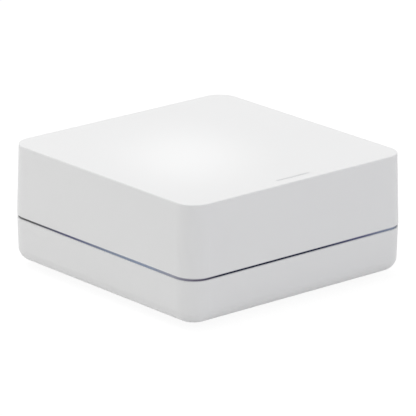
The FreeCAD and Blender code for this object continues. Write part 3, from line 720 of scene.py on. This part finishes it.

# Radio shield: a frame soldered round the radio, and a lid with sprung sides pressed
# over it. Small round dimples stiffen the lid. The slots that part its sides into fingers
# are not cut: they are painted dark, as painted shade.
DIMPLES = 5
DIMPLE_RADIUS = 0.8 * MM
DIMPLE_DEPTH = 0.15 * MM
FINGERS = 1.5 * MM
SLOT_SHARE = 0.12
SOLID_RIM = 0.5 * MM
PAINTED_SLOT_SHADE = (0.02, 0.02, 0.02)
low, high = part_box("radio_shield_lid")
lid = Finish("shield_lid_sheet", Metallic=1.0)
cloud = lid.noise(4 * MM, 4.0)
across, along, rise = lid.axes()
spans = [((axis - start) / ((end - start) / DIMPLES)).through("FRACT") - 0.5
         for axis, start, end in ((across, low.x, high.x), (along, low.y, high.y))]
cell = (high.x - low.x) / DIMPLES
from_dimple = (spans[0] * spans[0] + spans[1] * spans[1]).through("SQRT") * cell
dimple = from_dimple.sum("SMOOTH_MIN", from_dimple, DIMPLE_RADIUS, DIMPLE_RADIUS / 2)
slots = [(axis / FINGERS).through("FRACT") < SLOT_SHARE for axis in (across, along)]
# Painted shade where the slots lie, below the solid rim of the lid.
slot_shade_mask = (slots[0] + slots[1] > 0.5) * (rise < high.z - SOLID_RIM)
lid.set(Base_Color=lid.blend(slot_shade_mask, lid.blend(cloud, TIN_BRIGHT, TIN_DULL), PAINTED_SLOT_SHADE),
        Roughness=0.22 + cloud * 0.2)
lid.emboss(dimple / DIMPLE_RADIUS, DIMPLE_DEPTH)
eased("radio_shield_lid", "radio_lid_pressed", "tinplate", lid, 0.12 * MM)
eased("radio_shield_frame", "radio_frame_stamped", "tinplate", tin, 0.05 * MM)

# Antenna: one strip stamped from nickel silver. It stands on its two legs, which are
# soldered into the board.
eased("antenna", "antenna_stamped", "tinplate", nickel, 0.08 * MM)

# Housing screws: four thread-forming steel screws with a cross recess, zinc plated. The
# feet cover their heads.
THREAD_PITCH = 0.9 * MM
THREAD_DEPTH = 0.22 * MM
HEAD_HEIGHT = 1.8 * MM
ZINC = (0.58, 0.60, 0.62)
ZINC_PALE = (0.70, 0.71, 0.72)
zinc = Finish("zinc_plated_steel", Metallic=1.0)
across, along, rise = zinc.axes()
off_x, off_y = (axis - axis.through("SIGN") * screw_place for axis in (across, along))
round_screw = zinc.node("ShaderNodeMath", {"operation": "ARCTAN2"}, off_y, off_x)
helix = (rise * (2 * math.pi / THREAD_PITCH) + round_screw).through("SINE")
low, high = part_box("housing_screws")
shank = rise > low.z + HEAD_HEIGHT
plate = zinc.noise(0.7 * MM)
zinc.set(Base_Color=zinc.blend(plate, ZINC, ZINC_PALE), Roughness=0.26 + plate * 0.14)
zinc.emboss(helix * shank, THREAD_DEPTH / 2)
eased("housing_screws", "housing_screws_plated", "steel", zinc, 0.1 * MM)

# Feet: four moulded grey rubber discs, glued into their seats over the screws. The sole
# has a shallow ring groove and a rounded edge.
SOLE_EDGE = 0.45 * MM
GROOVE_RADIUS = 2.9 * MM
GROOVE_HALF = 0.35 * MM
GROOVE_DEPTH = 0.25 * MM
GROOVE_STEPS = 4
TOP_EDGE = 0.15 * MM
RUBBER = (0.095, 0.096, 0.100)
RUBBER_BLOOM = (0.125, 0.126, 0.130)
rubber = Finish("moulded_grey_rubber", IOR=1.5)
bloom = rubber.noise(1.5 * MM, 4.0)
rubber.set(Base_Color=rubber.blend(bloom, RUBBER, RUBBER_BLOOM),
           Roughness=0.66 + bloom * 0.14)
rubber.emboss(rubber.noise(0.18 * MM, 3.0), 0.012 * MM)
for corner in ("front_left", "front_right", "rear_left", "rear_right"):
    node = f"foot_{corner}"
    low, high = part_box(node)
    radius = (high.x - low.x) / 2
    height = high.z - low.z
    groove = [(GROOVE_RADIUS + GROOVE_HALF * step / GROOVE_STEPS,
               GROOVE_DEPTH * math.cos(math.pi / (2 * GROOVE_STEPS) * step) ** 2)
              for step in range(-GROOVE_STEPS, GROOVE_STEPS + 1)]
    outline = [(0, 0)] + groove + arc(radius - SOLE_EDGE, SOLE_EDGE, SOLE_EDGE, -90, 0)
    outline += [(radius, height - TOP_EDGE), (radius - TOP_EDGE, height), (0, height)]
    disc = bmesh.new()
    lathe(disc, outline, ((low.x + high.x) / 2, (low.y + high.y) / 2, low.z), (0, 0, 1))
    piece(closed(disc), f"rubber_{node}", "grey_rubber", rubber, node)

# Rating label: a blank plate of silver-grey film with round corners, stuck in its shallow
# seat. A hairline is printed a little inside its edge.
LABEL_CORNER = 1.5 * MM
HAIRLINE_INSET = 1.2 * MM
HAIRLINE = 0.12 * MM
HAIRLINE_GREY = (0.25, 0.25, 0.26)
FILM = (0.56, 0.56, 0.565)
FILM_PALE = (0.61, 0.61, 0.615)
low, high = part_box("rating_label")
film = Finish("silver_grey_film", IOR=1.5)
across, along, _ = film.axes()
from_edge = [half - axis.through("ABSOLUTE") for axis, half in ((across, high.x), (along, high.y))]
nearest = from_edge[0].sum("MINIMUM", from_edge[0], from_edge[1])
printed = (nearest > HAIRLINE_INSET) * (nearest < HAIRLINE_INSET + HAIRLINE)
brushed = film.noise(0.3 * MM, 3.0)
ground = film.blend(film.noise(8 * MM), FILM, FILM_PALE)
film.set(Base_Color=film.blend(printed, ground, HAIRLINE_GREY), Roughness=0.34 + brushed * 0.1)
film.emboss(brushed, 0.003 * MM)
label = bmesh.new()
block(label, low, high)
upright = [edge for edge in label.edges if abs(edge.verts[0].co.z - edge.verts[1].co.z) > 0.1 * MM]
bmesh.ops.bevel(label, geom=upright, offset=LABEL_CORNER, affect="EDGES", segments=8, profile=0.5,
                material=-1)
piece(label, "blank_label", "label_film", film, "rating_label")

# Camera: where the photograph was taken from, worked out from the outline of the case.
# It leans by a quarter of a degree, and looks at a point just beside the middle axis.
TURN = math.radians(-40.684)
HEIGHT = math.radians(17.854)
LEAN = math.radians(0.275)
DISTANCE = 985.97 * MM
LENS = 345.6
SENSOR = 36
NEAR_CLIP = 0.05
AIM_RISE = 15.91 * MM
AIM_SIDE = 0.196 * MM
back = Vector((math.sin(TURN) * math.cos(HEIGHT), -math.cos(TURN) * math.cos(HEIGHT), math.sin(HEIGHT)))
side = Vector((math.cos(TURN), math.sin(TURN), 0))
over = back.cross(side)
level = side * math.cos(LEAN) + over * math.sin(LEAN)
upward = -side * math.sin(LEAN) + over * math.cos(LEAN)
eye = Vector((0, 0, AIM_RISE)) + side * AIM_SIDE + back * DISTANCE
optics = bpy.data.cameras.new("camera")
optics.lens = LENS
optics.sensor_width = SENSOR
optics.clip_start = NEAR_CLIP
camera = bpy.data.objects.new("camera", optics)
camera.matrix_world = Matrix.Translation(eye) @ Matrix((level, upward, back)).transposed().to_4x4()
bpy.context.scene.collection.objects.link(camera)
bpy.context.scene.camera = camera

# Floor: a wide white sheet of paper, which keeps a faint shadow of the hub and otherwise
# shows as white as the room.
FLOOR = 12.0
PAPER = (0.78, 0.78, 0.78)
SHADOW_SHARE = (0.12, 0.12, 0.12)
SELF_WHITE = 0.92
mesh = bmesh.new()
bmesh.ops.create_grid(mesh, x_segments=1, y_segments=1, size=FLOOR / 2)
floor_mesh = bpy.data.meshes.new("floor")
mesh.to_mesh(floor_mesh)
mesh.free()
floor = bpy.data.objects.new("floor", floor_mesh)
bpy.context.scene.collection.objects.link(floor)
paper = Finish("floor_paper")
paper.nodes.remove(paper.shader)


def seen_rays(tree):
    """1 for rays from the camera and those that gloss or glass sends on."""
    rays = tree.nodes.new("ShaderNodeLightPath").outputs
    seen = rays["Is Camera Ray"]
    for name in ("Is Glossy Ray", "Is Transmission Ray"):
        either = tree.nodes.new("ShaderNodeMath")
        either.operation = "MAXIMUM"
        tree.links.new(seen, either.inputs[0])
        tree.links.new(rays[name], either.inputs[1])
        seen = either.outputs[0]
    return seen


plain = paper.node("ShaderNodeBsdfDiffuse", None, Color=PAPER)
faint = paper.node("ShaderNodeBsdfDiffuse", None, Color=SHADOW_SHARE)
lit = paper.node("ShaderNodeEmission", None, Color=(1.0, 1.0, 1.0), Strength=SELF_WHITE)
pale = paper.node("ShaderNodeAddShader", None, faint, lit)
seen = Wire(paper, seen_rays(paper.material.node_tree))
shown = paper.node("ShaderNodeMixShader", None, seen, plain, pale)
paper.links.new(shown.socket, paper.output.inputs["Surface"])
floor_mesh.materials.append(paper.material)

# Studio: an even white room, a large soft box high behind the hub, a small low one on
# its left, a cool one in front, and a narrow spot whose pool lies on the cover.
ROOM_LIGHT = 0.62
OVER_POWER = 7.25
LEFT_POWER = 0.052
FRONT_POWER = 1.9
POOL_POWER = 1.44
COOL = (0.95, 0.96, 1.10)
NEUTRAL = (1.0, 1.0, 1.0)
room = bpy.data.worlds.new("room")
room.use_nodes = True
bpy.context.scene.world = room
tree = room.node_tree
backdrop = tree.nodes["Background"]
backdrop.inputs["Color"].default_value = (1.0, 1.0, 1.0, 1.0)
strength = tree.nodes.new("ShaderNodeMix")
strength.inputs["A"].default_value = ROOM_LIGHT
strength.inputs["B"].default_value = 1.0
tree.links.new(seen_rays(tree), strength.inputs["Factor"])
tree.links.new(strength.outputs["Result"], backdrop.inputs["Strength"])


def lamp(name, kind, place, aim, power, tint, **settings):
    light = bpy.data.lights.new(name, kind)
    light.energy = power
    light.color = tint
    for setting, value in settings.items():
        setattr(light, setting, value)
    made = bpy.data.objects.new(name, light)
    made.location = place
    made.rotation_mode = "QUATERNION"
    made.rotation_quaternion = (Vector(aim) - Vector(place)).to_track_quat("-Z", "Y")
    made.visible_camera = False
    bpy.context.scene.collection.objects.link(made)


lamp("box_over", "AREA", place=(-0.2, 0.3, 1.2), aim=(0, 0, 0), power=OVER_POWER, tint=NEUTRAL,
     size=1.0)
lamp("box_left", "AREA", place=(-0.26, 0.20, 0.075), aim=(-0.035, 0.02, 0.02), power=LEFT_POWER,
     tint=NEUTRAL, size=0.12)
lamp("box_front", "AREA", place=(0.3, -1.2, 0.6), aim=(0, 0, 0.02), power=FRONT_POWER, tint=COOL,
     size=0.8)

# The pool of light: its middle on the cover's face, and the height and reach of its spot.
POOL_MIDDLE = Vector((-0.0089, -0.0016, 0.0316))
POOL_RADIUS = 19 * MM
POOL_DISTANCE = 0.6
POOL_HEIGHT = math.radians(42)
pool_way = Vector((-back.x, -back.y, 0)).normalized()
pool_rise = Vector((0, 0, math.sin(POOL_HEIGHT)))
spot_place = POOL_MIDDLE + (pool_way * math.cos(POOL_HEIGHT) + pool_rise) * POOL_DISTANCE
lamp("pool_spot", "SPOT", place=spot_place, aim=POOL_MIDDLE, power=POOL_POWER, tint=NEUTRAL,
     spot_size=2 * math.atan(POOL_RADIUS / POOL_DISTANCE), spot_blend=1.0, shadow_soft_size=0.01)
bpy.context.scene.view_settings.view_transform = "Standard"
